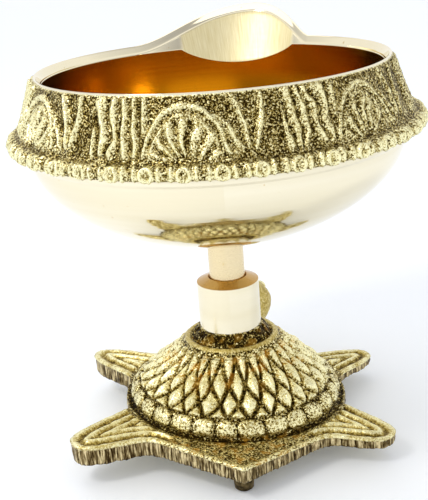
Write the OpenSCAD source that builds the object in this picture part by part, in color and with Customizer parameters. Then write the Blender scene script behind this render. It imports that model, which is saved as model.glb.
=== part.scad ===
// Diya oil lamp: an open bowl with a pinched wick spout and a cast relief band,
// on a round stem that stands in a collar on a cast tortoise base.
// Millimetres, +Z up. The floor is z = 0 and the stem's axis is x = y = 0.
// The tortoise's head points to +Y and its tail to -Y.

/* [Bowl] */
// Height of the rim above the floor
rim_z = 84.3; // [83:0.1:86]
// Outer radius of the bowl at its widest, under the band
bowl_r = 40; // [39:0.1:40.4]
// Height at which the bowl is widest
shoulder_z = 67.5; // [66:0.1:69]
// Height of the bowl's underside at the stem
bowl_bottom_z = 45.3; // [44:0.1:46]
// Thickness of the bowl's wall
bowl_wall = 2.2; // [1.8:0.1:2.6]
// Roundness of the bowl's profile: 2 is an ellipse, less is more conical
bowl_power = 1.8; // [1.6:0.01:2]
// Inner radius of the bowl below its bevelled lip
opening_r = 36; // [35:0.1:36.2]
// Depth of the lip's bevel, which slopes down to the inside
lip_drop = 1.6; // [1:0.1:2]
// Thickness of the cast floor over the stem's spigot
bowl_floor = 6.2; // [5.5:0.1:7]

/* [Wick spout] */
// Bearing of the spout, clockwise from +Y
spout_turn = 13; // [0:1:25]
// Sideways shift of the spout's lip from its middle
spout_skew = 3; // [0:0.5:4]
// Half of the angle that the spout takes up on the rim
spout_half_angle = 26; // [18:1:28]
// Height of the spout's lip above the rim
spout_rise = 7.2; // [6:0.1:8]
// Distance of the spout's lip from the axis
spout_reach = 46.2; // [44:0.1:46.2]

/* [Relief band] */
// Outer radius of the band at the rim
band_top_r = 37.8; // [37.6:0.1:38.4]
// Outer radius of the band where its edge begins to flare
band_foot_r = 41.3; // [40:0.1:42]
// Outer radius of the scalloped edge
skirt_r = 45.2; // [44:0.1:46]
// Height of the scalloped edge's middle
skirt_z = 71; // [70.6:0.1:72]
// Number of loops in the scalloped edge, each followed by a ridge
scallops = 40; // [30:1:48]

/* [Stem] */
// Radius of the stem rod
rod_r = 4; // [3.5:0.1:4.5]
// Radius of the spigot at the rod's top
spigot_r = 2.5; // [2:0.1:3]
// Length of the spigot at the rod's top
spigot_l = 4; // [3:0.1:4.2]
// Radial running clearance of the rod and of its spigot
clearance = 0.06; // [0.02:0.01:0.1]
// Depth to which the rod stands in the collar
socket_depth = 10.4; // [8:0.1:10.6]

/* [Collar] */
// Radius of the collar
collar_r = 7; // [6.5:0.1:7.2]
// Height of the collar's mouth above the floor
collar_top_z = 36; // [35.4:0.1:36.4]
// Drop of the collar's conical top from its mouth to its edge
collar_cone = 1.1; // [0.5:0.1:1.5]
// Radius of the spigot under the collar
collar_spigot_r = 3.8; // [3.5:0.1:4]

/* [Tortoise base] */
// Radius of the dome where it meets the flange
dome_r = 24; // [23.6:0.1:24.6]
// Height of the flange's upper face
flange_z = 8; // [7.6:0.1:8.6]
// Thickness of the flange
flange_t = 3.4; // [3:0.1:4]
// Thickness of the dome's wall
dome_wall = 3; // [2.5:0.1:3.5]
// Outer radius of the ring round the collar
ring_r = 10.7; // [10:0.1:11]
// Height of the ring's top
ring_z = 22.2; // [21.8:0.1:22.4]
// Height at which the collar sits on the neck inside the ring
collar_seat_z = 24.4; // [24:0.1:24.6]
// Distance of the flippers' tips near the tail from the axis
front_flipper_reach = 41.8; // [40:0.1:43]
// Angle of those flippers from the tail
front_flipper_angle = 54; // [50:1:58]
// Distance of the flippers' tips near the head from the axis
back_flipper_reach = 39; // [38:0.1:42]
// Angle of those flippers from the tail
back_flipper_angle = 120; // [117:1:125]
// Extra reach of the two flippers at -X over the mean, taken from the two at +X
uneven_reach = 1.2; // [0:0.1:1.4]
// Extra angle of the two flippers at -X over the mean
uneven_angle = 2; // [0:0.5:3]
// Distance of the tail's point from the axis
tail_reach = 36; // [35.4:0.1:38]
// Number of beads round the dome's foot
beads = 28; // [24:1:30]
// Number of long scales round the dome's top
scales = 28; // [18:1:30]

/* [Feet and fixing] */
// Distance of the tail's foot from the axis
tail_foot_y = 30.9; // [30:0.1:31]
// Distance of the two feet near the head from the axis
back_foot_reach = 27.6; // [27:0.1:30]
// Angle of those two feet from the tail
back_foot_angle = 118; // [115:1:122]
// Radius of a foot where it meets the flange
foot_r = 2.4; // [2:0.1:2.6]
// Radius of the fixing screw's thread
screw_r = 2.5; // [2:0.1:2.5]
// Radius of the fixing screw's head
screw_head_r = 4.6; // [4:0.1:5]
// Radius of the washer under the dome
washer_r = 5.6; // [5:0.1:6]

/* [Hidden] */
$fn = 96;
brass = "#d9b65a";
cast_brass = "#a88a3c";
dark_brass = "#8a6c2c";
bead_fn = 16;
boss_under_z = 13;
washer_t = 1;
socket_z = collar_top_z - socket_depth;
land_r = bowl_r + 0.5;
band_seat_z = skirt_z - 1.9;
band_inner_r = 37;
wall_top_r = band_inner_r;
spigot_hole_l = spigot_l + 0.4;
bowl_steps = 14;
foot_spigot_r = 1.5;
feet_places = [[0, tail_foot_y], [back_foot_angle, back_foot_reach],
               [-back_foot_angle, back_foot_reach]];
head_shift = 2.4;
flange_under_z = flange_z - flange_t;
scallop_step = 360 / scallops;

// Radius of the bowl's outside at height z, between its underside and its shoulder
function bowl_radius(z) =
    bowl_r * pow(1 - pow((shoulder_z - z) / (shoulder_z - bowl_bottom_z), bowl_power), 1 / bowl_power);

// Heights spaced closely near the underside, where the profile turns fastest
function bowl_height(i) = bowl_bottom_z + (shoulder_z - bowl_bottom_z) * pow(i / bowl_steps, 2);

// Radius of the bowl's inside, a wall's thickness in from its outside
function inner_radius(i) = min(max(bowl_radius(bowl_height(i)) - bowl_wall, 0), opening_r);

// Turned bowl: underside, land under the band, and the wall behind the band
module bowl_outside() {
    outline = [for (i = [0:bowl_steps]) [bowl_radius(bowl_height(i)), bowl_height(i)]];
    rotate_extrude()
        polygon(concat(
            [[0, bowl_bottom_z]],
            [for (p = outline) if (p[0] > rod_r + 0.6) p],
            [[land_r, shoulder_z + 0.6], [land_r, band_seat_z], [wall_top_r, band_seat_z],
             [wall_top_r, rim_z], [0, rim_z]]));
}

module bowl_inside() {
    floor_z = bowl_bottom_z + bowl_floor;
    outline = [for (i = [0:bowl_steps]) [inner_radius(i), bowl_height(i) + bowl_wall * 0.6]];
    rotate_extrude()
        polygon(concat(
            [[0, floor_z], [8, floor_z + 0.4]],
            [for (p = outline) if (p[1] > floor_z + 1 && p[0] > 9) p],
            [[opening_r, rim_z - lip_drop], [wall_top_r - 0.2, rim_z],
             [wall_top_r - 0.2, rim_z + 1], [0, rim_z + 1]]));
}

// Half of the spout's root chord and its distance from the axis, at the rim
spout_root_r = opening_r - 0.6;
spout_chord = spout_root_r * sin(spout_half_angle);
spout_chord_y = spout_root_r * cos(spout_half_angle);

module spout_outside() {
    rotate([0, 0, -spout_turn])
        hull() {
            translate([-spout_chord - 1, spout_chord_y, rim_z - 2.6])
                cylinder(r = 1, h = 2.6, $fn = 32);
            translate([spout_chord + 1, spout_chord_y, rim_z - 2.6])
                cylinder(r = 1, h = 2.6, $fn = 32);
            translate([0, spout_root_r, rim_z - 6])
                cylinder(r = 1.4, h = 6, $fn = 32);
            translate([spout_skew - 8, spout_reach - 5.6, rim_z + spout_rise - 3.4])
                sphere(r = 1.6, $fn = 32);
            translate([spout_skew + 6, spout_reach - 5.6, rim_z + spout_rise - 3.4])
                sphere(r = 1.6, $fn = 32);
            translate([spout_skew, spout_reach - 2.6, rim_z + spout_rise - 2.6])
                sphere(r = 2.6, $fn = 32);
        }
}

module spout_hollow() {
    rotate([0, 0, -spout_turn])
        hull() {
            translate([0, spout_root_r - 4, rim_z - 4.6])
                cylinder(r = 1, h = 30, $fn = 32);
            translate([-spout_chord, spout_chord_y - 3, rim_z + 0.4])
                cylinder(r = 1, h = 24, $fn = 32);
            translate([spout_chord, spout_chord_y - 3, rim_z + 0.4])
                cylinder(r = 1, h = 24, $fn = 32);
            translate([spout_skew - 6, spout_reach - 7, rim_z + spout_rise - 4.4])
                cylinder(r = 1, h = 20, $fn = 32);
            translate([spout_skew + 4, spout_reach - 7, rim_z + spout_rise - 4.4])
                cylinder(r = 1, h = 20, $fn = 32);
            translate([spout_skew, spout_reach - 3.4, rim_z + spout_rise - 2.2])
                cylinder(r = 1, h = 18, $fn = 32);
        }
}

module oil_bowl() {
    color(brass)
        difference() {
            union() {
                bowl_outside();
                spout_outside();
            }
            bowl_inside();
            spout_hollow();
            translate([0, 0, bowl_bottom_z - 1])
                cylinder(r = spigot_r + clearance, h = spigot_hole_l + 1);
        }
}

// Cast band that drops over the rim and rests on the bowl's land
module band_ring() {
    rotate_extrude()
        polygon([
            [band_inner_r, band_seat_z],
            [land_r + 0.6, band_seat_z],
            [skirt_r - 3.4, skirt_z - 1.5],
            [skirt_r - 1.6, skirt_z - 1],
            [skirt_r - 1.3, skirt_z + 0.6],
            [band_foot_r + 1.2, skirt_z + 1.7],
            [band_foot_r, skirt_z + 3.4],
            [(band_foot_r + band_top_r) / 2 + 0.4, (skirt_z + rim_z) / 2 + 1.2],
            [band_top_r, rim_z],
            [band_inner_r, rim_z]]);
}

// One round loop and one narrow ridge of the scalloped edge
module scallop() {
    loop_l = 3.1;
    difference() {
        translate([skirt_r - loop_l, 0, skirt_z])
            rotate([0, 90, 0])
                cylinder(r = 1.8, h = loop_l, $fn = bead_fn);
        translate([skirt_r - 0.8, 0, skirt_z])
            rotate([0, 90, 0])
                cylinder(r = 0.9, h = 2, $fn = bead_fn);
    }
    rotate([0, 0, scallop_step / 2])
        translate([skirt_r - 3.4, -0.6, skirt_z - 1.4])
            cube([3, 1.2, 2.9]);
}

module relief_band() {
    color(cast_brass)
        difference() {
            union() {
                band_ring();
                for (i = [0:scallops - 1])
                    rotate([0, 0, i * scallop_step])
                        scallop();
            }
            spout_outside();
        }
}

module stem_rod() {
    rod_l = bowl_bottom_z - socket_z;
    color(brass)
        union() {
            translate([0, 0, socket_z])
                cylinder(r = rod_r, h = rod_l);
            translate([0, 0, bowl_bottom_z])
                cylinder(r = spigot_r, h = spigot_l);
        }
}

// Turned collar with a blind socket above and a tapped spigot below
module stem_collar() {
    socket_r = rod_r + clearance;
    tapped_z = boss_under_z + 0.4;
    color(brass)
        rotate_extrude()
            polygon([
                [screw_r, tapped_z],
                [collar_spigot_r, tapped_z],
                [collar_spigot_r, collar_seat_z],
                [collar_r, collar_seat_z],
                [collar_r, collar_top_z - collar_cone],
                [socket_r + 0.3, collar_top_z],
                [socket_r, collar_top_z - 0.6],
                [socket_r, socket_z],
                [0, socket_z],
                [0, socket_z - 1.6],
                [screw_r, socket_z - 1.6]]);
}

module dome_shell() {
    rotate_extrude()
        polygon([
            [collar_spigot_r, boss_under_z],
            [7.2, boss_under_z],
            [10.4, 15.2],
            [13.4, 14],
            [17.4, 11],
            [19.6, 8.4],
            [dome_r - dome_wall, flange_under_z],
            [dome_r, flange_under_z],
            [dome_r, flange_z + 0.9],
            [23.4, 10.2],
            [21, 12],
            [18.6, 14],
            [16.2, 16],
            [13.7, 18],
            [12, 19.6],
            [ring_r + 0.7, ring_z - 1.7],
            [ring_r, ring_z - 0.4],
            [ring_r - 0.5, ring_z],
            [ring_r - 1, ring_z],
            [ring_r - 1.4, ring_z - 0.6],
            [collar_r + 0.3, collar_seat_z],
            [collar_spigot_r, collar_seat_z]]);
}

// A flipper or the tail: a tapering plate that points to -Y, with a round tip
module limb(reach, root_half, tip_half) {
    root_y = 14;
    translate([0, 0, flange_under_z])
        linear_extrude(flange_t)
            union() {
                polygon([[-root_half, -root_y], [-root_half * 0.8, -(root_y + reach) / 2 + 1],
                         [-tip_half, -(reach - tip_half)], [tip_half, -(reach - tip_half)],
                         [root_half * 0.8, -(root_y + reach) / 2 + 1], [root_half, -root_y]]);
                translate([0, -(reach - tip_half)])
                    circle(r = tip_half);
            }
}

// Raised border and veins on a flipper that points to -Y
module flipper_veins(reach) {
    root_y = 27;
    for (side = [-1, 0, 1])
        translate([side * 3.2, 0, flange_z - 0.4])
            rotate([0, 0, -side * 7])
                translate([-0.5, -(reach - 4), 0])
                    cube([1, reach - 4 - root_y, 1]);
}

module flipper(reach, angle) {
    for (side = [-1, 1])
        rotate([0, 0, side * angle - uneven_angle]) {
            limb(reach - side * uneven_reach, 11, 4.2);
            flipper_veins(reach - side * uneven_reach);
        }
}

module flange() {
    translate([0, 0, flange_under_z])
        cylinder(r = dome_r + 2, h = flange_t);
    flipper(front_flipper_reach, front_flipper_angle);
    flipper(back_flipper_reach, back_flipper_angle);
    limb(tail_reach, 12.6, 0.6);
}

module dome_relief() {
    for (i = [0:beads - 1])
        rotate([0, 0, (i + 0.5) * 360 / beads])
            translate([dome_r - 1.2, 0, flange_z + 1.7])
                sphere(r = 2.2, $fn = bead_fn);
    for (i = [0:scales - 1])
        rotate([0, 0, i * 360 / scales])
            translate([12.2, -0.4, 19])
                rotate([0, 40, 0])
                    cube([9, 0.8, 0.9]);
}

// Blunt head on a short neck, turned a little to +X
module head() {
    translate([head_shift, 0, 0])
        hull() {
            for (side = [-1, 1])
                translate([side * 3.4, 31.6, 15.4])
                    sphere(r = 5.4, $fn = 32);
            translate([0, 34.4, 14.6])
                sphere(r = 4.6, $fn = 32);
            translate([0, 21, 9.6])
                sphere(r = 4.4, $fn = 32);
        }
}

module tortoise_base() {
    color(cast_brass)
        difference() {
            union() {
                dome_shell();
                difference() {
                    flange();
                    cylinder(r = dome_r - dome_wall, h = flange_z + 1);
                }
                dome_relief();
                difference() {
                    head();
                    cylinder(r = dome_r - dome_wall + 0.5, h = ring_z);
                }
            }
            for (place = feet_places)
                rotate([0, 0, place[0]])
                    translate([0, -place[1], flange_under_z - 1])
                        cylinder(r = foot_spigot_r, h = 3);
        }
}

// Three tapered pegs, each with a spigot held in the flange
module feet() {
    color(dark_brass)
        for (place = feet_places)
            rotate([0, 0, place[0]])
                translate([0, -place[1], 0])
                    rotate_extrude()
                        polygon([
                            [0, 0], [foot_r - 1, 0], [foot_r - 0.4, 0.5],
                            [foot_r, flange_under_z], [foot_spigot_r, flange_under_z],
                            [foot_spigot_r, flange_under_z + 1.8], [0, flange_under_z + 1.8]]);
}

module base_washer() {
    color(brass)
        translate([0, 0, boss_under_z - washer_t])
            difference() {
                cylinder(r = washer_r, h = washer_t);
                translate([0, 0, -1])
                    cylinder(r = screw_r + 0.2, h = washer_t + 2);
            }
}

// Pan-head screw with a slot, driven up into the collar
module base_screw() {
    head_h = 2.6;
    head_z = boss_under_z - washer_t - head_h;
    color(brass)
        difference() {
            union() {
                translate([0, 0, head_z])
                    cylinder(r = screw_head_r, h = head_h);
                translate([0, 0, head_z + head_h])
                    cylinder(r = screw_r, h = 8.6);
            }
            translate([-screw_head_r - 1, -0.5, head_z - 1])
                cube([2 * screw_head_r + 2, 1, 2.2]);
        }
}

tortoise_base();
feet();
stem_collar();
base_washer();
base_screw();
stem_rod();
oil_bowl();
relief_band();
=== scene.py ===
import math

import bpy
import numpy as np
from mathutils import Matrix, Vector, kdtree


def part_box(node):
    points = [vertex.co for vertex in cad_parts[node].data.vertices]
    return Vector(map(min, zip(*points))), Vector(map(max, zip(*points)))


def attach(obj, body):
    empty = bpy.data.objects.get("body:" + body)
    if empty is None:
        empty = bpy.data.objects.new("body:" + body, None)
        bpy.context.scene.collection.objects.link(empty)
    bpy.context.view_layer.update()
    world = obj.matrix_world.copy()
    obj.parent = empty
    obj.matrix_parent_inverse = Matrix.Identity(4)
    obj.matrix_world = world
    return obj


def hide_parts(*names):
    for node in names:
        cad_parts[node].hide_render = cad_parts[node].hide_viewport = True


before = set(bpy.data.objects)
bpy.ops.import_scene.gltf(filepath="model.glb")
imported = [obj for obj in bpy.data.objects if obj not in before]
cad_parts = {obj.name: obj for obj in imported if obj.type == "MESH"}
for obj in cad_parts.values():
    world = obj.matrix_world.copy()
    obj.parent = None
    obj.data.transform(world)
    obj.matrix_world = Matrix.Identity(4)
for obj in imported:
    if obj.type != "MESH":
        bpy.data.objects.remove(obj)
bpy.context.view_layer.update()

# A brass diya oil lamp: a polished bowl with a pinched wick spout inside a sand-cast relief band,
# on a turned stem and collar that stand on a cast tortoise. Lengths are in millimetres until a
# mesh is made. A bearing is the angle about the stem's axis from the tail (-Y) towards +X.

MM = 0.001
TAU = 2 * math.pi


def box_mm(node):
    """Lowest and highest corner of a CAD node, in millimetres."""
    low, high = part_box(node)
    return np.array(low) / MM, np.array(high) / MM


band_low, band_high = box_mm("relief_band")
bowl_low, bowl_high = box_mm("oil_bowl")
base_low = box_mm("tortoise_base")[0]
RIM_Z = band_high[2]
BAND_SEAT_Z = band_low[2]
SKIRT_R = band_high[0]
BOWL_BOTTOM_Z = bowl_low[2]
SPOUT_RISE = bowl_high[2] - RIM_Z
FLANGE_THICKNESS = 2.8
FLANGE_Z = base_low[2] + FLANGE_THICKNESS

# ---------------------------------------------------------------- shape helpers


def smoothstep(low, high, value):
    """Runs smoothly from 0 at low to 1 at high. With low above high it falls."""
    part = np.clip((value - low) / (high - low), 0, 1)
    return part * part * (3 - 2 * part)


def ridge(distance, width):
    """A rounded ridge, 1 high, where distance is 0."""
    return np.exp(-((distance / width) ** 2))


def noise(points, cell, seed):
    """Smooth noise from -1 to 1 at points in mm, with features one cell wide."""
    source = np.random.default_rng(seed)
    order, heights = source.permutation(256), source.uniform(-1, 1, 256)
    lattice = np.floor(points / cell).astype(int)
    part = points / cell - lattice
    part = part * part * (3 - 2 * part)
    total = 0
    for corner in np.ndindex(2, 2, 2):
        at = (lattice + corner) & 255
        key = order[(order[(order[at[..., 0]] + at[..., 1]) & 255] + at[..., 2]) & 255]
        weight = np.prod(np.where(np.array(corner) == 1, part, 1 - part), axis=-1)
        total = total + weight * heights[key]
    return total


def softened(corners, size, steps=4):
    """A profile through (radius, height) corners, with all but its two ends rounded this much."""
    corners = [np.array(c, float) for c in corners]
    points = [corners[0]]
    for before, at, after in zip(corners, corners[1:], corners[2:]):
        reach = min(size, np.linalg.norm(before - at) / 2.2, np.linalg.norm(after - at) / 2.2)
        start = at + (before - at) / np.linalg.norm(before - at) * reach
        end = at + (after - at) / np.linalg.norm(after - at) * reach
        for t in np.linspace(0, 1, steps + 1):
            points.append((1 - t) ** 2 * start + 2 * t * (1 - t) * at + t * t * end)
    points.append(corners[-1])
    return np.array(points)


def resampled(profile, step):
    """The same profile, with its points no more than a step apart."""
    points = [profile[0]]
    for start, end in zip(profile, profile[1:]):
        count = max(1, math.ceil(np.linalg.norm(end - start) / step))
        points += [start + (end - start) * (i + 1) / count for i in range(count)]
    return np.array(points)


def turned(radius, height, bearings):
    """Rows x columns x 3 points, from radius and height grids or columns of numbers."""
    radius, height, bearings = np.broadcast_arrays(radius, height, bearings)
    return np.stack([radius * np.sin(bearings), -radius * np.cos(bearings), height], -1)


def normals(grid, wrap_rows):
    """Unit normals of a grid of points whose columns wrap round."""
    along = np.roll(grid, -1, 1) - np.roll(grid, 1, 1)
    if wrap_rows:
        up = np.roll(grid, -1, 0) - np.roll(grid, 1, 0)
    else:
        up = np.gradient(grid, axis=0)
    cross = np.cross(along, up)
    return cross / np.maximum(np.linalg.norm(cross, axis=-1, keepdims=True), 1e-9)


def grid_piece(name, grid, wrap_rows=False, **attributes):
    """A closed smooth mesh from rows x columns x 3 points in mm. Open ends close on the axis."""
    rows, columns = grid.shape[:2]
    index = np.arange(rows * columns).reshape(rows, columns)
    below = index if wrap_rows else index[:-1]
    above = np.roll(index, -1, 0) if wrap_rows else index[1:]
    quads = np.stack([below, np.roll(below, -1, 1), np.roll(above, -1, 1), above], -1)
    faces = quads.reshape(-1, 4).tolist()
    points = grid.reshape(-1, 3)
    if not wrap_rows:
        ends = [grid[0].mean(0), grid[-1].mean(0)]
        points = np.concatenate([points, ends])
        first, last = rows * columns, rows * columns + 1
        faces += np.stack([np.roll(index[0], -1), index[0], np.full(columns, first)], -1).tolist()
        faces += np.stack([index[-1], np.roll(index[-1], -1), np.full(columns, last)], -1).tolist()
    mesh = bpy.data.meshes.new(name)
    mesh.from_pydata((points * MM).tolist(), [], faces)
    mesh.polygons.foreach_set("use_smooth", np.ones(len(faces), bool))
    for key, value in attributes.items():
        value = np.broadcast_to(value, (rows, columns)).reshape(-1).astype(float)
        if not wrap_rows:
            value = np.concatenate([value, [value[0], value[-1]]])
        mesh.attributes.new(key, "FLOAT", "POINT").data.foreach_set("value", value)
    mesh.update()
    piece = bpy.data.objects.new(name, mesh)
    bpy.context.scene.collection.objects.link(piece)
    return piece


# ---------------------------------------------------------------- materials


class Graph:
    """One material: a Principled shader and the nodes that feed it."""

    def __init__(self, name, **inputs):
        self.material = bpy.data.materials.new(name)
        self.material.use_nodes = True
        self.tree = self.material.node_tree
        self.shader = self.tree.nodes["Principled BSDF"]
        for key, value in inputs.items():
            self.shader.inputs[key.replace("_", " ")].default_value = value

    def node(self, kind, inputs=(), **settings):
        """A node with these settings; inputs pairs each input with a value or another output."""
        made = self.tree.nodes.new("ShaderNode" + kind)
        for key, value in settings.items():
            setattr(made, key, value)
        for key, value in dict(inputs).items():
            if isinstance(value, bpy.types.NodeSocket):
                self.tree.links.new(value, made.inputs[key])
            else:
                made.inputs[key].default_value = value
        return made

    def feed(self, key, output):
        self.tree.links.new(output, self.shader.inputs[key])

    def fed(self, key):
        """The output that now feeds one of the shader's inputs."""
        return self.shader.inputs[key].links[0].from_socket

    def math(self, operation, first, second=0.0):
        return self.node("Math", {0: first, 1: second}, operation=operation).outputs[0]

    def attribute(self, name):
        return self.node("Attribute", attribute_name=name).outputs["Fac"]

    def place(self):
        return self.node("TexCoord").outputs["Object"]

    def lathe_place(self, around):
        """Radius, angle times around, and height: a place for the marks that a lathe leaves."""
        axes = self.node("SeparateXYZ", {0: self.place()})
        x, y, z = axes.outputs
        flat = self.node("CombineXYZ", {0: x, 1: y}).outputs[0]
        radius = self.node("VectorMath", {0: flat}, operation="LENGTH").outputs["Value"]
        turn = self.math("MULTIPLY", self.math("ARCTAN2", x, y), around)
        return self.node("CombineXYZ", {0: radius, 1: turn, 2: z}).outputs[0]

    def noise(self, place, scale, detail=2.0, roughness=0.5):
        inputs = {"Vector": place, "Scale": scale, "Detail": detail, "Roughness": roughness}
        return self.node("TexNoise", inputs).outputs["Fac"]

    def ramp(self, value, *stops):
        """The colour at a value, between stops that each have a position and a colour."""
        made = self.node("ValToRGB", {0: value})
        elements = made.color_ramp.elements
        while len(elements) < len(stops):
            elements.new(1.0)
        for element, (position, colour) in zip(elements, stops):
            element.position = position
            element.color = (*colour, 1)
        return made.outputs["Color"]

    def remap(self, value, low, high, new_low, new_high):
        """The value with low to high stretched to new_low to new_high, and held beyond them."""
        inputs = {"Value": value, "From Min": low, "From Max": high}
        inputs.update({"To Min": new_low, "To Max": new_high})
        return self.node("MapRange", inputs).outputs["Result"]

    def mix(self, share, first, second):
        """A colour that goes from the first to the second as the share goes from 0 to 1."""
        made = self.node("Mix", data_type="RGBA")
        sockets = {"Factor": 0, "A": 6, "B": 7}
        for key, value in (("Factor", share), ("A", first), ("B", second)):
            if isinstance(value, bpy.types.NodeSocket):
                self.tree.links.new(value, made.inputs[sockets[key]])
            else:
                made.inputs[sockets[key]].default_value = value
        return made.outputs[2]

    def bump(self, height, depth_mm, strength=1.0, after=None):
        """A normal from this height, laid over the normal given as after."""
        inputs = {"Height": height, "Strength": strength, "Distance": depth_mm * MM}
        if after:
            inputs["Normal"] = after
        return self.node("Bump", inputs).outputs["Normal"]


# Brass as it is on polished, satin, tarnished and shaded metal, and painted reflections of brass
# in brass, deep orange, inside the bowl and in the collar's coned mouth
PALE_BRASS = (0.86, 0.78, 0.56)
CREAM_BRASS = (0.91, 0.84, 0.64)
DEEP_BRASS = (0.7, 0.52, 0.24)
SATIN_BRASS = (0.78, 0.6, 0.3)
TARNISH = (0.8, 0.42, 0.05)
BOWL_PAINTED_REFLECTION = (0.66, 0.39, 0.045)
CONE_PAINTED_REFLECTION = (0.5, 0.26, 0.03)
# Stops of colour ramps: cast brass from painted shade in its pits to a painted highlight on its
# crests, then three other surfaces
CAST_SHADE_AND_HIGHLIGHT_STOPS = [(0.28, (0.022, 0.012, 0.002)), (0.4, (0.18, 0.12, 0.022)),
              (0.53, (0.56, 0.43, 0.12)), (0.69, (1.0, 0.95, 0.58))]
FILED_STOPS = [(0.38, (0.04, 0.022, 0.006)), (0.5, (0.26, 0.19, 0.08)), (0.64, (0.8, 0.67, 0.38))]
SANDED_STOPS = [(0.3, (0.76, 0.66, 0.36)), (0.7, (0.9, 0.82, 0.54))]
FOOT_STOPS = [(0.3, (0.03, 0.022, 0.01)), (0.7, (0.22, 0.16, 0.07))]


def polished_brass(name, roughness, ring_depth, ring_scale=2600):
    """Turned and polished brass: near-mirror, with fine rings and slow changes of tone."""
    graph = Graph(name, Metallic=1.0)
    lathe = graph.lathe_place(0.0006)
    rings = graph.noise(lathe, ring_scale, 3.0, 0.65)
    bands = graph.noise(lathe, 260, 2.0)
    smears = graph.noise(graph.place(), 70, 3.0)
    tone = graph.ramp(bands, (0.3, PALE_BRASS), (0.7, CREAM_BRASS))
    specks = graph.noise(graph.place(), 900, 1.0)
    pits = graph.remap(specks, 0.76, 0.8, 0.0, 0.75)
    graph.feed("Base Color", graph.mix(pits, tone, (*DEEP_BRASS, 1)))
    shine = graph.math("ADD", graph.remap(smears, 0.3, 0.7, 0.0, 0.05),
                       graph.remap(rings, 0.3, 0.7, roughness - 0.02, roughness + 0.03))
    graph.feed("Roughness", shine)
    graph.feed("Normal", graph.bump(rings, ring_depth, 0.6))
    return graph


def cast_brass(name, grain_mm, pit_depth):
    """Sand-cast brass: granular, with a painted highlight on the raised parts and painted shade,
    dark brown, in the pits.

    It reads three attributes of a piece: relief is the height of the casting's surface and sets
    the painted shade and highlight, calm takes the speckle away and warm adds spots of tarnish.
    """
    graph = Graph(name, Metallic=1.0)
    place = graph.place()
    relief = graph.attribute("relief")
    lively = graph.math("SUBTRACT", 1.0, graph.attribute("calm"))
    grain = graph.noise(place, 1 / (grain_mm * MM), 1.0, 0.6)
    fine = graph.noise(place, 2.3 / (grain_mm * MM), 1.0)
    speckle = graph.math("ADD", graph.remap(grain, 0.3, 0.7, -0.3, 0.3),
                         graph.remap(fine, 0.3, 0.7, -0.2, 0.2))
    # The ramp's level: painted shade and highlight from the relief attribute, with the grain's
    # speckle on top
    level = graph.math("ADD", relief, graph.math("MULTIPLY", speckle, lively))
    colour = graph.ramp(level, *CAST_SHADE_AND_HIGHLIGHT_STOPS)
    spots = graph.remap(graph.noise(place, 420, 1.0), 0.52, 0.64, 0.0, 0.55)
    tint = graph.math("MULTIPLY", spots, graph.attribute("warm"))
    tint = graph.math("MULTIPLY", tint, graph.remap(level, 0.3, 0.75, 1.0, 0.35))
    graph.feed("Base Color", graph.mix(tint, colour, (*TARNISH, 1)))
    graph.feed("Roughness", graph.remap(level, 0.2, 0.8, 0.6, 0.24))
    grainy = graph.bump(grain, pit_depth, 0.9)
    graph.feed("Normal", graph.bump(fine, pit_depth * 0.4, 0.6, grainy))
    return graph


def tinted(graph, share, colour):
    """The graph's material with part of its base colour turned to this one."""
    graph.feed("Base Color", graph.mix(share, graph.fed("Base Color"), (*colour, 1)))
    return graph.material


# ---------------------------------------------------------------- oil bowl

BOWL_COLUMNS = 720
BOWL_R = 40
SHOULDER_Z = BAND_SEAT_Z - 1.6
# The polished land under the band, the wall behind the band, and the bowl's opening
LAND_R = BOWL_R + 0.5
BEHIND_BAND_R = 37
OPENING_R = 36
LIP_DROP = 1.6
BOWL_WALL = 2.2
BOWL_FLOOR = 6.2
# The power of the superellipse that the bowl's side follows
BOWL_POWER = 1.8
# The flat under the bowl, and the hole in it for the rod's spigot
STEM_PAD_R = 4.6
SPIGOT_R = 2.56
SPIGOT_HOLE = 4.4
# The near side is the one at bearings above the peak's
SPOUT_PEAK = math.radians(164.5)
SPOUT_NEAR_SIDE = math.radians(45)
SPOUT_FAR_SIDE = math.radians(24)
SPOUT_NEAR_FULL = 0.95
SPOUT_FAR_FULL = 0.65
SPOUT_OUT = 7.9
SPOUT_LIP = 0.9
SPOUT_ROOT = 8
# The face sanded flat on the spout's inside
FACET_MIDDLE = math.radians(168.7)
FACET_HALF = math.radians(22)
FACET_DEPTH = 4.0
FACET_ROWS = 16


def bowl_radius(height):
    """Radius of the bowl's outside at a height below its shoulder."""
    part = np.clip((SHOULDER_Z - height) / (SHOULDER_Z - BOWL_BOTTOM_Z), 0, 1)
    return BOWL_R * (1 - part**BOWL_POWER) ** (1 / BOWL_POWER)


def spout_share(bearings):
    """How far the rim has turned into the spout: 1 at its peak, 0 on the round rim."""
    near = bearings > SPOUT_PEAK
    side = np.where(near, SPOUT_NEAR_SIDE, SPOUT_FAR_SIDE)
    part = np.clip(np.abs(bearings - SPOUT_PEAK) / side, 0, 1)
    bell = np.cos(part * math.pi / 2) ** 2
    return np.where(near, bell**SPOUT_NEAR_FULL, bell**SPOUT_FAR_FULL)


def facet_depth(bearings):
    """How far below the rim the spout's sanded face begins on the bowl's inside."""
    across = np.abs(bearings - FACET_MIDDLE) / FACET_HALF
    return FACET_DEPTH * np.clip(1 - across**2, 0, 1) ** 0.85


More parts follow.
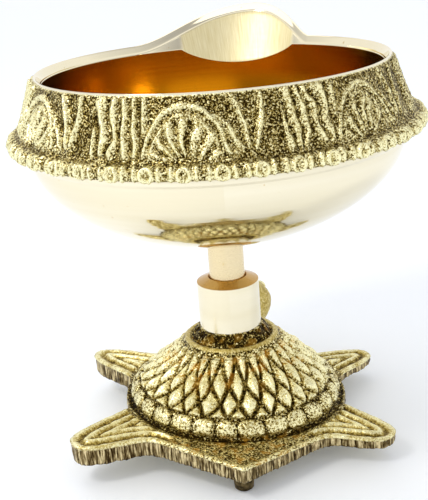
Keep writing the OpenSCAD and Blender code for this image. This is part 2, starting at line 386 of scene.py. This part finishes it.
def make_bowl():
    """The bowl, from the hole under it up its outside, over the lip and down its inside."""
    bearings = np.linspace(0, TAU, BOWL_COLUMNS, endpoint=False)
    heights = BOWL_BOTTOM_Z + (SHOULDER_Z - BOWL_BOTTOM_Z) * np.linspace(0, 1, 44) ** 2
    outside = [(bowl_radius(h), h) for h in heights if bowl_radius(h) > 4.7]
    inside = [(min(r - BOWL_WALL, OPENING_R), h + BOWL_WALL * 0.6)
              for r, h in outside[::-1] if r > 12]
    floor_z = BOWL_BOTTOM_Z + BOWL_FLOOR
    under = softened([(0.02, BOWL_BOTTOM_Z + SPIGOT_HOLE), (SPIGOT_R, BOWL_BOTTOM_Z + SPIGOT_HOLE),
                      (SPIGOT_R, BOWL_BOTTOM_Z), (STEM_PAD_R, BOWL_BOTTOM_Z), *outside,
                      (LAND_R, SHOULDER_Z + 0.6), (LAND_R, BAND_SEAT_Z),
                      (BEHIND_BAND_R, BAND_SEAT_Z), (BEHIND_BAND_R, RIM_Z - SPOUT_ROOT)], 0.12, 3)
    under = resampled(under, 1.2)
    lip = softened([(BEHIND_BAND_R, RIM_Z - SPOUT_ROOT), (BEHIND_BAND_R + 0.1, RIM_Z - 1.0),
                    (BEHIND_BAND_R + 0.4, RIM_Z - 0.6), (BEHIND_BAND_R + 0.4, RIM_Z - 0.03),
                    (BEHIND_BAND_R - 0.05, RIM_Z - 0.1), (OPENING_R + 0.05, RIM_Z - LIP_DROP),
                    (OPENING_R, RIM_Z - LIP_DROP - 0.4)], 0.3, 5)
    lip = resampled(lip, 0.35)[1:]
    facet_top = RIM_Z - LIP_DROP - 0.4
    facet = np.stack([np.full(FACET_ROWS, OPENING_R), np.full(FACET_ROWS, facet_top)], -1)
    wall = softened([(OPENING_R, facet_top - 0.1), *inside,
                     (9, floor_z + 0.5), (4, floor_z), (0.02, floor_z)], 0.6, 2)
    wall = resampled(wall, 1.0)

    # For each row, how much of the spout's pull it takes (rising up the outside, whole on the
    # lip, falling down the facet), of its thickness inwards, and of the facet's sinking
    profile = np.concatenate([under, lip, facet, wall])
    still_under, still_wall = np.zeros(len(under)), np.zeros(len(wall))
    down = np.linspace(0, 1, FACET_ROWS)
    pull_lip = np.clip((lip[:, 1] - (RIM_Z - SPOUT_ROOT)) / (SPOUT_ROOT - 1), 0, 1)
    pull_lip[np.argmax(lip[:, 1]):] = 1
    pull = np.concatenate([still_under, pull_lip, 1 - down, still_wall])[:, None]
    over_lip = smoothstep(BEHIND_BAND_R, OPENING_R, lip[:, 0]) * (pull_lip == 1)
    inward = np.concatenate([still_under, over_lip, 1 - down, still_wall])[:, None]
    sink_wall = np.clip(1 - (facet_top - wall[:, 1]) / 12, 0, 1)
    sink = np.concatenate([still_under, np.zeros(len(lip)), down, sink_wall])[:, None]

    share = spout_share(bearings)[None]
    depth = facet_depth(bearings)[None]
    radius = profile[:, :1] + pull * SPOUT_OUT * share**1.25 - inward * SPOUT_LIP * share
    height = profile[:, 1:] + pull * (SPOUT_RISE - 0.05) * share - sink * depth
    grid = turned(radius, height, bearings[None])
    facet_start = len(under) + len(lip)
    facet_end = facet_start + FACET_ROWS
    row = np.arange(len(profile))[:, None]
    in_facet = (row >= facet_start - 1) & (row < facet_end)
    sanded = in_facet * np.clip(depth / 0.6, 0, 1)
    return grid_piece("oil_bowl_turned", grid, sanded=sanded, inner=row >= facet_end)


def bowl_material():
    """Polished brass, with a deep orange painted reflection inside the bowl, and brushed on the
    spout's sanded face.
    """
    graph = polished_brass("bowl_polished_brass", 0.06, 0.004)
    sanded = graph.attribute("sanded")
    inner = graph.attribute("inner")
    x, y, z = graph.node("SeparateXYZ", {0: graph.place()}).outputs
    turn = graph.math("ARCTAN2", x, y)
    slant = graph.math("ADD", graph.math("MULTIPLY", turn, 0.035), graph.math("MULTIPLY", z, 0.12))
    streak_place = graph.node("CombineXYZ", {0: slant, 1: graph.math("MULTIPLY", z, 0.05)})
    streaks = graph.noise(streak_place.outputs[0], 3200, 3.0, 0.6)
    # Inside the bowl the base colour is a painted reflection: brass seen in brass, deep orange
    inside_painted_reflection = graph.mix(inner, graph.fed("Base Color"), (*BOWL_PAINTED_REFLECTION, 1))
    brushed = graph.ramp(streaks, *SANDED_STOPS)
    graph.feed("Base Color", graph.mix(sanded, inside_painted_reflection, brushed))
    inside = graph.math("ADD", graph.fed("Roughness"), graph.math("MULTIPLY", inner, 0.06))
    graph.feed("Roughness", graph.math("ADD", inside, graph.math("MULTIPLY", sanded, 0.38)))
    scratches = graph.math("MULTIPLY", streaks, sanded)
    graph.feed("Normal", graph.bump(scratches, 0.05, 0.8, graph.fed("Normal")))
    return graph.material


# ---------------------------------------------------------------- relief band

BAND_COLUMNS = 1440
BAND_TOP_R = 37.8
BAND_FOOT_R = 41.3
# The middle of the scalloped edge
SKIRT_Z = BAND_SEAT_Z + 1.9
FANS = 7
# One fan's bearing, and the height of the fans' feet above the middle of the edge
FAN_BEARING = math.radians(-9)
FAN_FOOT = 1.6
FAN_HALF_WIDTH = 7.6
FAN_HEIGHT = 9.6
RAYS = 19
STALK_PITCH = 2.3
# Four leaves spread from one root beside each fan, at these angles from upright in radians
LEAF_ROOT = (11.5, -1.0)
LEAF_ANGLES = [-0.75, -0.3, 0.15, 0.6]
# The bearing where the band is least worn
CRISP_BEARING = math.radians(-50)
# The scalloped edge repeats a loop, with a bar and a gap at these distances on both sides
SCALLOPS = 40
LOOP_R = 1.15
BAR_AT = 2.35
GAP_AT = 3.45
# How far the edge's metal lies inside the skirt's full radius, which its relief fills
EDGE_ROOM = 1.15


def band_height(grid, bearings, height):
    """Height of the relief on the band's wall: fans, with stalks and leaves between them."""
    pitch = TAU / FANS
    around = (bearings - FAN_BEARING + pitch / 2) % pitch - pitch / 2
    wobble = noise(grid, 3.2, 5)
    x = around * BAND_FOOT_R + 0.5 * wobble
    y = height - SKIRT_Z - FAN_FOOT + 0.4 * noise(grid, 2.6, 6)
    # Two arched rims round a field of rays
    arc = np.hypot(x / FAN_HALF_WIDTH, y / FAN_HEIGHT)
    angle = np.arctan2(x, y + 2.0)
    rays = (0.5 + 0.5 * np.cos(angle * RAYS + 0.9 * wobble)) * smoothstep(0.1, 0.3, arc)
    fan = ridge((arc - 1) * 8, 0.45) + 0.6 * ridge((arc - 0.83) * 8, 0.3)
    fan = fan + smoothstep(0.86, 0.7, arc) * rays * 0.95
    outside = smoothstep(1.06, 1.2, arc)
    stalks = 0.45 + 0.55 * np.cos(x * TAU / STALK_PITCH + 0.3 * y + 2.1 * wobble)
    stalks = stalks * smoothstep(-5.0, -8.0, x)
    root_x, root_y = LEAF_ROOT
    from_root = np.hypot(x - root_x, y - root_y)
    lean = np.arctan2(x - root_x, y - root_y) + 0.03 * from_root
    leaves = np.maximum.reduce([ridge((lean - at) * from_root, 0.5) for at in LEAF_ANGLES])
    leaves = leaves * smoothstep(2.0, 4.0, from_root) * smoothstep(4.0, 7.0, x)
    draft = noise(grid * [1, 1, 0.2], 1.3, 9)
    shape = fan + outside * (stalks + leaves * 1.1) + 0.16 * draft
    crisp = 0.66 + 0.34 * np.cos(bearings - CRISP_BEARING) + 0.2 * noise(grid, 16, 8)
    return shape * np.clip(crisp, 0.25, 1)


def edge_height(bearings, height):
    """Height of the relief on the scalloped edge: loops, bars and gaps."""
    pitch = TAU / SCALLOPS
    along = ((bearings + pitch / 2) % pitch - pitch / 2) * SKIRT_R
    up = height - SKIRT_Z
    loop = ridge(np.hypot(along, up * 0.95) - LOOP_R, 0.4)
    bars = ridge(np.abs(along) - BAR_AT, 0.42) * smoothstep(2.0, 1.4, np.abs(up))
    gap = ridge(np.abs(along) - GAP_AT, 0.35)
    return loop * 0.85 + bars * 0.65 - gap * 0.15


def make_band():
    """The band: its underside, scalloped edge, wall and top outside, and a plain wall behind."""
    bearings = np.linspace(0, TAU, BAND_COLUMNS, endpoint=False)
    edge_r = SKIRT_R - EDGE_ROOM
    corners = [(BEHIND_BAND_R, BAND_SEAT_Z + 0.02), (LAND_R + 0.3, BAND_SEAT_Z + 0.02),
               (LAND_R + 1.5, BAND_SEAT_Z + 0.5), (edge_r - 1.4, SKIRT_Z - 1.35),
               (edge_r - 0.1, SKIRT_Z - 1.1), (edge_r, SKIRT_Z + 0.5),
               (edge_r - 0.7, SKIRT_Z + 1.4), (BAND_FOOT_R + 0.6, SKIRT_Z + 1.9),
               (BAND_FOOT_R - 0.1, SKIRT_Z + 3.2), (39.6, RIM_Z - 6),
               (BAND_TOP_R - 0.1, RIM_Z - 0.5), (BAND_TOP_R - 0.3, RIM_Z - 0.25),
               (BEHIND_BAND_R, RIM_Z - 0.3)]
    outer = resampled(softened(corners, 0.7, 4), 0.3)
    inner = [(BEHIND_BAND_R, h) for h in np.linspace(RIM_Z - 2, BAND_SEAT_Z + 2, 4)]
    profile = np.concatenate([outer, inner])
    radius, height = profile[:, :1], profile[:, 1:]
    grid = turned(radius, height, bearings[None])
    outward = normals(grid, True)
    carved = (radius > BEHIND_BAND_R + 0.2) & (outward[..., 2] > -0.9)
    on_edge = ridge((height - SKIRT_Z) / 1.9, 1.0) * smoothstep(41.6, 43.2, radius)
    on_wall = smoothstep(SKIRT_Z + 1.6, SKIRT_Z + 3.2, height)
    on_wall = on_wall * smoothstep(RIM_Z - 0.3, RIM_Z - 1.0, height)
    relief = band_height(grid, bearings[None], height) * on_wall
    relief = relief + edge_height(bearings[None], height) * on_edge
    rough = noise(grid, 0.5, 11) * 0.16
    rough = rough * smoothstep(RIM_Z - 0.2, RIM_Z - 0.8, height)
    under = smoothstep(SKIRT_Z - 1.0, SKIRT_Z - 1.6, height)
    raised = (relief + rough * (1 - 0.7 * under)) * carved
    grid = grid + outward * (raised * 0.85 - 0.15 * carved)[..., None]
    # Where the spout is, the band's top sinks below the spout's own metal
    sunk = RIM_Z - 0.2 - (facet_depth(bearings) + 1.2) * smoothstep(0, 0.25, spout_share(bearings))
    grid[..., 2] = np.minimum(grid[..., 2], np.maximum(sunk, SKIRT_Z)[None])
    # Nothing stands out beyond the CAD's skirt
    reach = np.hypot(grid[..., 0], grid[..., 1])
    limit = np.minimum(1, (SKIRT_R - 0.02) / np.maximum(reach, 1e-6))
    grid[..., :2] *= limit[..., None]
    # The ramp's level: painted shade in the relief's hollows, a painted highlight on its raised
    # parts and along the rim's top, the scalloped edge a little lighter and its underside one flat
    # tone
    level = 0.36 + relief * 0.5 + rough * 0.8
    level = level + 0.3 * smoothstep(RIM_Z - 0.7, RIM_Z - 0.3, height) + 0.14 * on_edge
    level = level * (1 - under) + 0.6 * under
    return grid_piece("relief_band_cast", grid, wrap_rows=True, relief=np.clip(level, 0, 1))


# ---------------------------------------------------------------- tortoise base

BASE_COLUMNS = 960
FLANGE_ROWS = 44
DOME_R = 24
# The ring round the dome's top, the neck and collar's seat above it, and the boss under it
RING_R = 10.7
RING_Z = 22.2
NECK_R = 7.3
SEAT_Z = 24.4
BORE_R = 3.9
BOSS_UNDER_Z = 13
# Scales in one row round the dome, and beads in the row at its foot
SCALES = 28
BEAD_HALF_WIDTH = 2.6
BEAD_HALF_HEIGHT = 1.7
BEAD_Z = FLANGE_Z + 1.9
FLANGE_LEAN = math.tan(math.radians(3.1))
BODY_REACH = 25.4
TAIL_REACH = 36.4
TAIL_TURN = math.radians(35)
# The flippers' tips: bearing from the tail in degrees, and distance from the axis
FLIPPERS = [(-55, 43.0), (52.5, 40.6), (-122.5, 40.2), (117, 37.9)]
FLIPPER_HALF = math.radians(10)
# The parts of the casting's section, in the order in which its rows run round it
SIDE, TOP, HOOD, SEAT, HOLLOW, BELOW = range(6)


def flange_reach(bearings):
    """Distance from the axis to the flange's edge: a straight-sided tail and four flippers."""
    away = np.abs((bearings + math.pi) % TAU - math.pi)
    tail_edge = TAIL_REACH * math.cos(TAIL_TURN) / np.cos(np.minimum(away, TAIL_TURN) - TAIL_TURN)
    reach = tail_edge + (BODY_REACH - tail_edge) * smoothstep(0.9, 1.25, away)
    for bearing, tip in FLIPPERS:
        turn = (bearings - math.radians(bearing) + math.pi) % TAU - math.pi
        reach = np.maximum(reach, BODY_REACH) + np.maximum(tip - reach, 0) * np.exp(
            -np.abs(turn / FLIPPER_HALF) ** 2.5)
    return reach


def dome_scales(bearings, along, wobble):
    """A lattice of diamond scales: its grooves, its swells, and how near the lower tip is."""
    climb = 0.05 * along + 0.0035 * along**2
    turn = bearings * SCALES / TAU + 0.17 * wobble
    first, second = turn + climb, turn - climb
    a = first - np.floor(first)
    b = second - np.floor(second)
    edge = np.minimum(np.minimum(a, 1 - a), np.minimum(b, 1 - b))
    groove = 1 - smoothstep(0.02, 0.17, edge)
    tip = (a + (1 - b)) / 2
    swell = (np.sin(np.pi * a) * np.sin(np.pi * b)) ** 0.6
    rib = ridge(a + b - 1, 0.13)
    return groove, swell * (1 + 0.25 * rib), tip


def edge_distance(grid, bearings, reach):
    """Distance, seen from above, from each point of a grid to the flange's edge."""
    tree = kdtree.KDTree(len(reach))
    for i, point in enumerate(turned(reach, np.zeros(len(reach)), bearings)):
        tree.insert(point, i)
    tree.balance()
    flat = grid.copy()
    flat[..., 2] = 0
    return np.array([[tree.find(point)[2] for point in row] for row in flat])


def make_base():
    """The tortoise: flange, dome, ring and neck outside, and a hollow with a boss underneath."""
    bearings = np.linspace(0, TAU, BASE_COLUMNS, endpoint=False)[None]
    reach = flange_reach(bearings)
    thin = 3.1 - 0.9 * np.clip(np.sin(bearings), 0, 1)

    dome = softened([(RING_R + 0.9, 20.2), (13.7, 17.8), (16.2, 15.8), (18.6, 13.8), (21, 11.8),
                     (23, 10.2), (DOME_R - 0.1, 8.2)], 3, 5)
    top = softened([(7.05, SEAT_Z), (NECK_R, SEAT_Z - 0.1), (9.2, RING_Z - 0.7),
                    (9.6, RING_Z - 0.05), (10.2, RING_Z - 0.05), (RING_R, RING_Z - 0.5),
                    (RING_R + 0.9, 20.2)], 0.4, 4)
    hood = resampled(np.concatenate([dome[::-1], top[::-1]]), 0.34)
    hood_r, hood_z = hood[:, :1], hood[:, 1:]
    t = np.linspace(0, 1, FLANGE_ROWS)[:, None]
    foot_r = DOME_R + 0.1
    flange_r = reach + (foot_r - reach) * t
    flange_z = np.full_like(flange_r, FLANGE_Z)
    side_t = np.linspace(0, 1, 9)[:-1, None]
    side_r = reach + 0.12 * np.sin(np.pi * side_t)
    side_z = FLANGE_Z - thin + thin * side_t
    hollow = resampled(softened([(BORE_R, SEAT_Z), (BORE_R, BOSS_UNDER_Z), (7.2, BOSS_UNDER_Z),
                                 (10.4, 15.2), (13.4, 14), (17.4, 11), (19.6, 8.4),
                                 (DOME_R - 3, 6)], 0.6, 2), 1.4)
    hollow_r, hollow_z = hollow[:, :1], hollow[:, 1:]
    below_t = np.linspace(0, 1, 12)[1:-1, None]
    below_r = (DOME_R - 3) + (reach - DOME_R + 3) * below_t
    below_z = np.broadcast_to(FLANGE_Z - thin, below_r.shape)
    seat = np.array([[5.5, SEAT_Z], [BORE_R, SEAT_Z]])

    ones = np.ones((1, BASE_COLUMNS))
    parts = [(side_r, side_z), (flange_r, flange_z), (hood_r, hood_z),
             (seat[:, :1], seat[:, 1:]), (hollow_r, hollow_z), (below_r, below_z)]
    radius = np.concatenate([part_r * ones for part_r, _ in parts])
    height = np.concatenate([part_z * ones for _, part_z in parts])
    kind = np.repeat(np.arange(len(parts)), [len(part_r) for part_r, _ in parts])[:, None]
    side_share = np.zeros((len(kind), 1))
    side_share[:len(side_t)] = side_t
    grid = turned(radius, height, bearings)
    outward = normals(grid, True)

    # A border and veins that follow the flange's edge
    is_top = kind[:, 0] == TOP
    inset = np.zeros_like(radius)
    inset[is_top] = edge_distance(grid[is_top], bearings[0], reach[0])
    from_tail = np.abs((bearings + math.pi) % TAU - math.pi)
    on_tail = smoothstep(math.radians(36), math.radians(28), from_tail)
    on_limb = smoothstep(DOME_R + 1.6, DOME_R + 3.2, radius) * (1 - on_tail)
    border = ridge(np.maximum(inset - 0.75, 0), 0.5) * 0.5
    veins = (0.5 + 0.5 * np.cos((inset - 3.1) * TAU / 2.2)) * smoothstep(1.6, 2.3, inset)
    limb_relief = border + veins * 0.75
    tail_relief = border * 0.9 * smoothstep(DOME_R + 2, DOME_R + 3.5, radius)
    flange_relief = limb_relief * on_limb + tail_relief * on_tail
    flange_relief = flange_relief - 0.5 * smoothstep(DOME_R + 1.5, DOME_R + 0.4, radius)
    flange_relief = flange_relief * (kind == TOP)

    # Scales, by the distance along the section from under the ring
    along = np.zeros_like(radius)
    hood_along = np.concatenate([[0], np.cumsum(np.linalg.norm(np.diff(hood, axis=0), axis=1))])
    start = np.argmin(np.abs(hood[:, 0] - RING_R - 0.5))
    along[kind[:, 0] == HOOD] = (hood_along[start] - hood_along)[:, None]
    on_scales = (kind == HOOD) * smoothstep(0.0, 0.6, along) * smoothstep(14.8, 14.0, along)
    groove, swell, tip = dome_scales(bearings, along, noise(grid, 4.5, 26))
    shrink = 0.6 + 0.4 * smoothstep(0, 8, along)
    scale_relief = (swell * (0.2 + 1.1 * tip) - groove * 0.55) * shrink * on_scales

    bead_pitch = TAU / SCALES
    shifted = bearings + 0.03 * noise(grid, 5, 27)
    bead_along = (shifted % bead_pitch - bead_pitch / 2) * DOME_R / BEAD_HALF_WIDTH
    bead_up = (height - BEAD_Z) / BEAD_HALF_HEIGHT
    bead_far = (np.abs(bead_along) ** 3 + np.abs(bead_up) ** 3) ** (1 / 3)
    beads = np.sqrt(np.clip(1 - bead_far**2, 0, 1)) * (kind == HOOD) * (radius > 20)
    between_beads = (kind == HOOD) * (radius > DOME_R - 2.4) * (1 - smoothstep(0, 0.3, beads))
    bead_relief = beads * 0.6 - 0.3 * between_beads

    # The metal's roughness: pits on the neck, file marks on the side, and the sand's grain
    on_neck = (kind == HOOD) * smoothstep(7.2, 7.5, radius) * smoothstep(9.3, 9.0, radius)
    on_ring = (kind == HOOD) * smoothstep(9.2, 9.5, radius) * smoothstep(10.9, 10.6, radius)
    pits = noise(grid, 0.6, 23) * on_neck * 0.35
    files = noise(grid * [1, 1, 0.12], 0.34, 24) * (kind == SIDE) * 0.16
    rough = (noise(grid, 0.6, 21) * 0.1 + noise(grid, 1.5, 22) * 0.08) * (kind <= HOOD)
    rough = rough * (1 - 0.75 * on_ring)
    rough = rough + noise(grid, 2.2, 25) * 0.2 * (kind > SEAT)
    relief = flange_relief + scale_relief + bead_relief + pits + files
    grid = grid + outward * (relief + rough)[..., None]
    # The casting isn't square to its stem: the flange leans, its underside less than its top
    outside_lean = np.where(kind == SIDE, 0.6 + 0.4 * side_share, 1.0)
    lean = np.where(kind <= HOOD, outside_lean, 0.6) * smoothstep(12, 26, radius)
    grid[..., 2] -= grid[..., 0] * FLANGE_LEAN * lean

    # The ramp's level: painted shade in the hollows, such as the grooves between scales, between
    # beads and round the dome's foot, and a painted highlight on raised parts; file marks on the
    # cut side, the dome a little lighter, the neck darker and the ring lighter
    level = 0.42 + relief * 0.4 + rough * 0.8
    level = np.where(kind == SIDE, 0.5 + files * 2.2, level)
    level = level + 0.06 * on_scales - 0.22 * on_neck + 0.12 * on_ring
    calm = np.maximum(on_ring * 0.8, np.maximum((kind == TOP) * on_limb * 0.7, on_scales * 0.3))
    warm = np.maximum(on_scales * smoothstep(11, 4, along), 0.5 * on_neck)
    warm = np.maximum(warm, (kind == TOP) * on_tail * 0.9)
    return grid_piece("tortoise_base_cast", grid, wrap_rows=True, relief=np.clip(level, 0, 1),
                      cut=kind == SIDE, calm=calm, warm=warm)


def base_material():
    """Cast brass, with the marks of a file where the attribute cut is 1."""
    graph = cast_brass("base_cast_brass", 0.46, 0.17)
    cut = graph.attribute("cut")
    squash = graph.node("VectorMath", {0: graph.place(), 1: (1, 1, 0.1)}, operation="MULTIPLY")
    lines = graph.noise(squash.outputs[0], 2300, 2.0, 0.6)
    filed = graph.ramp(lines, *FILED_STOPS)
    graph.feed("Base Color", graph.mix(cut, graph.fed("Base Color"), filed))
    striped = graph.math("MULTIPLY", lines, cut)
    graph.feed("Normal", graph.bump(striped, 0.1, 0.7, graph.fed("Normal")))
    return graph.material


# How far the head turns aside, and where an eye is: out from the head's middle, back and up
HEAD_SHIFT = 2.4
EYE_SIDE, EYE_Y, EYE_Z = 6.0, 34.4, 18.8


def make_head():
    """The tortoise's head: a neck that rises to a blunt snout, with eyes and a mouth line."""
    t = np.linspace(0, 1, 72)[:, None]
    turn = np.linspace(0, TAU, 96, endpoint=False)[None]
    centre_y = 19 + 20.0 * t
    centre_z = 9.5 + 7.2 * smoothstep(0, 0.62, t) - 1.6 * smoothstep(0.7, 1, t)
    blunt = np.sqrt(np.clip(1 - np.clip((t - 0.62) / 0.38, 0, 1) ** 2, 0, 1))
    bulb = smoothstep(0.25, 0.62, t) * blunt
    wide = 5.0 * (1 - smoothstep(0.3, 0.62, t)) + 9.0 * bulb
    tall = 4.6 * (1 - smoothstep(0.3, 0.62, t)) + 6.2 * bulb
    x = HEAD_SHIFT * smoothstep(0, 0.5, t) + wide * np.sin(turn)
    z = centre_z - tall * np.cos(turn)
    x, y, z = np.broadcast_arrays(x, centre_y, z)
    grid = np.stack([x, y, z], -1)
    side = np.abs(x - HEAD_SHIFT)
    eye = np.sqrt((side - EYE_SIDE) ** 2 + (y - EYE_Y) ** 2 + (z - EYE_Z) ** 2)
    mouth = ridge(z - 13.8 - 0.12 * (side - 4), 0.45) * smoothstep(30, 33, y)
    outward = -normals(grid, False)
    relief = np.sqrt(np.clip(3.0 - eye**2, 0, 3.0)) * 0.8 - ridge(eye - 2.1, 0.35) * 0.4
    relief = relief - mouth * 0.9
    relief = relief + noise(grid, 0.7, 31) * 0.05 + noise(grid, 2.4, 32) * 0.1
    grid = grid + np.where(np.isfinite(outward), outward, 0) * relief[..., None]
    # The columns run the other way round, so that the faces look outwards
    grid = grid[:, ::-1]
    # The ramp's level: a painted highlight on the raised eyes and painted shade in the mouth line
    level = 0.54 + relief[:, ::-1] * 0.3
    return grid_piece("tortoise_head", grid, relief=np.clip(level, 0, 1), cut=0.0, calm=0.75,
                      warm=0.0)


# ---------------------------------------------------------------- put the pieces in the frame


def place(piece, body, slot, material):
    """Gives a piece its material and the body that it rides on. The slot is not used."""
    piece.data.materials.append(material)
    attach(piece, body)
    return piece


bowl = place(make_bowl(), "bowl", "bowl_brass", bowl_material())
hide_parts("oil_bowl")
band = place(make_band(), "bowl", "band_brass", cast_brass("band_cast_brass", 0.34, 0.15).material)
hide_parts("relief_band")
cast_material = base_material()
base = place(make_base(), "base", "cast_brass", cast_material)
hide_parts("tortoise_base")
place(make_head(), "base", "cast_brass", cast_material)

# Height of the coned mouth at the collar's top
COLLAR_CONE = 1.1


def repaint(node, material):
    """Gives a CAD node's object this material in each of its slots."""
    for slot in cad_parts[node].material_slots:
        slot.material = material


rod_material = tinted(polished_brass("rod_turned_brass", 0.24, 0.04, 3400), 0.6, SATIN_BRASS)
collar_graph = polished_brass("collar_polished_brass", 0.15, 0.012, 2400)
collar_z = collar_graph.node("SeparateXYZ", {0: collar_graph.place()}).outputs[2]
cone_z = (box_mm("stem_collar")[1][2] - COLLAR_CONE) * MM
on_cone = collar_graph.remap(collar_z, cone_z - 0.05 * MM, cone_z + 0.05 * MM, 0.0, 0.85)
# The coned mouth takes a painted reflection, deep orange, of brass seen in brass
collar_material = tinted(collar_graph, on_cone, CONE_PAINTED_REFLECTION)
fixing_material = polished_brass("fixing_brass", 0.3, 0.02, 1800).material
foot_graph = cast_brass("foot_cast_brass", 0.6, 0.12)
foot_grain = foot_graph.noise(foot_graph.place(), 900, 2.0)
foot_graph.feed("Base Color", foot_graph.ramp(foot_grain, *FOOT_STOPS))
for node, material in [("stem_rod", rod_material), ("stem_collar", collar_material),
                       ("base_washer", fixing_material), ("base_screw", fixing_material),
                       ("feet", foot_graph.material)]:
    repaint(node, material)

# ---------------------------------------------------------------- floor, light and camera

# Half the floor's width, in metres
FLOOR_HALF = 3.0
WALL_WHITE = (1.0, 1.0, 1.0, 1)
CEILING_GREY = (0.5, 0.5, 0.53, 1)
CAMERA_AT = Vector((-2.55, -211.8, 114.8)) * MM
CAMERA_LENS = 72
PITCH = math.radians(18.94)
ROLL = math.radians(4.4)

floor_mesh = bpy.data.meshes.new("floor")
floor_corners = [(-FLOOR_HALF, -FLOOR_HALF, 0), (FLOOR_HALF, -FLOOR_HALF, 0),
                 (FLOOR_HALF, FLOOR_HALF, 0), (-FLOOR_HALF, FLOOR_HALF, 0)]
floor_mesh.from_pydata(floor_corners, [], [(0, 1, 2, 3)])
floor = bpy.data.objects.new("floor", floor_mesh)
bpy.context.scene.collection.objects.link(floor)
floor_graph = Graph("floor_white", Roughness=0.6)
floor_graph.shader.inputs["Base Color"].default_value = (0.9, 0.93, 0.98, 1)
floor_graph.shader.inputs["Emission Color"].default_value = (0.9, 0.95, 1.0, 1)
floor_graph.shader.inputs["Emission Strength"].default_value = 0.1
floor_mesh.materials.append(floor_graph.material)

world = bpy.data.worlds.new("studio")
bpy.context.scene.world = world
world.use_nodes = True
sky = world.node_tree.nodes["Background"]
sky.inputs["Strength"].default_value = 1.0
sky_place = world.node_tree.nodes.new("ShaderNodeTexCoord")
sky_axes = world.node_tree.nodes.new("ShaderNodeSeparateXYZ")
sky_ramp = world.node_tree.nodes.new("ShaderNodeValToRGB")
world.node_tree.links.new(sky_place.outputs["Generated"], sky_axes.inputs[0])
world.node_tree.links.new(sky_axes.outputs["Z"], sky_ramp.inputs[0])
world.node_tree.links.new(sky_ramp.outputs["Color"], sky.inputs["Color"])
# Bright walls all round, and a dim ceiling
sky_stops = [(0.55, WALL_WHITE), (0.9, CEILING_GREY)]
for element, (position, colour) in zip(sky_ramp.color_ramp.elements, sky_stops):
    element.position = position
    element.color = colour


def soft_light(name, position, size, power, colour):
    """A square area light at a position in metres, aimed at the middle of the diya."""
    light = bpy.data.lights.new(name, "AREA")
    light.size = size
    light.energy = power
    light.color = colour
    lamp = bpy.data.objects.new(name, light)
    lamp.location = position
    aim = Vector((0, 0, 0.045)) - lamp.location
    lamp.rotation_euler = aim.to_track_quat("-Z", "Y").to_euler()
    bpy.context.scene.collection.objects.link(lamp)


overhead = bpy.data.lights.new("overhead", "SUN")
overhead.energy = 0.6
overhead.angle = math.radians(50)
overhead_lamp = bpy.data.objects.new("overhead", overhead)
overhead_lamp.rotation_euler = (math.radians(-16), math.radians(-10), 0)
bpy.context.scene.collection.objects.link(overhead_lamp)
soft_light("key", position=(-0.3, -0.2, 0.5), size=0.14, power=0.9, colour=(1, 0.97, 0.93))

ahead = Vector((0, math.cos(PITCH), -math.sin(PITCH)))
upright = Vector((0, math.sin(PITCH), math.cos(PITCH)))
side = Vector((1, 0, 0))
right = side * math.cos(ROLL) - upright * math.sin(ROLL)
up = upright * math.cos(ROLL) + side * math.sin(ROLL)
camera_data = bpy.data.cameras.new("camera")
camera_data.lens = CAMERA_LENS
camera_data.clip_start = 0.01
camera = bpy.data.objects.new("camera", camera_data)
bpy.context.scene.collection.objects.link(camera)
camera.matrix_world = Matrix((
    (right.x, up.x, -ahead.x, CAMERA_AT.x), (right.y, up.y, -ahead.y, CAMERA_AT.y),
    (right.z, up.z, -ahead.z, CAMERA_AT.z), (0, 0, 0, 1)))
bpy.context.scene.camera = camera
bpy.context.scene.view_settings.view_transform = "Standard"
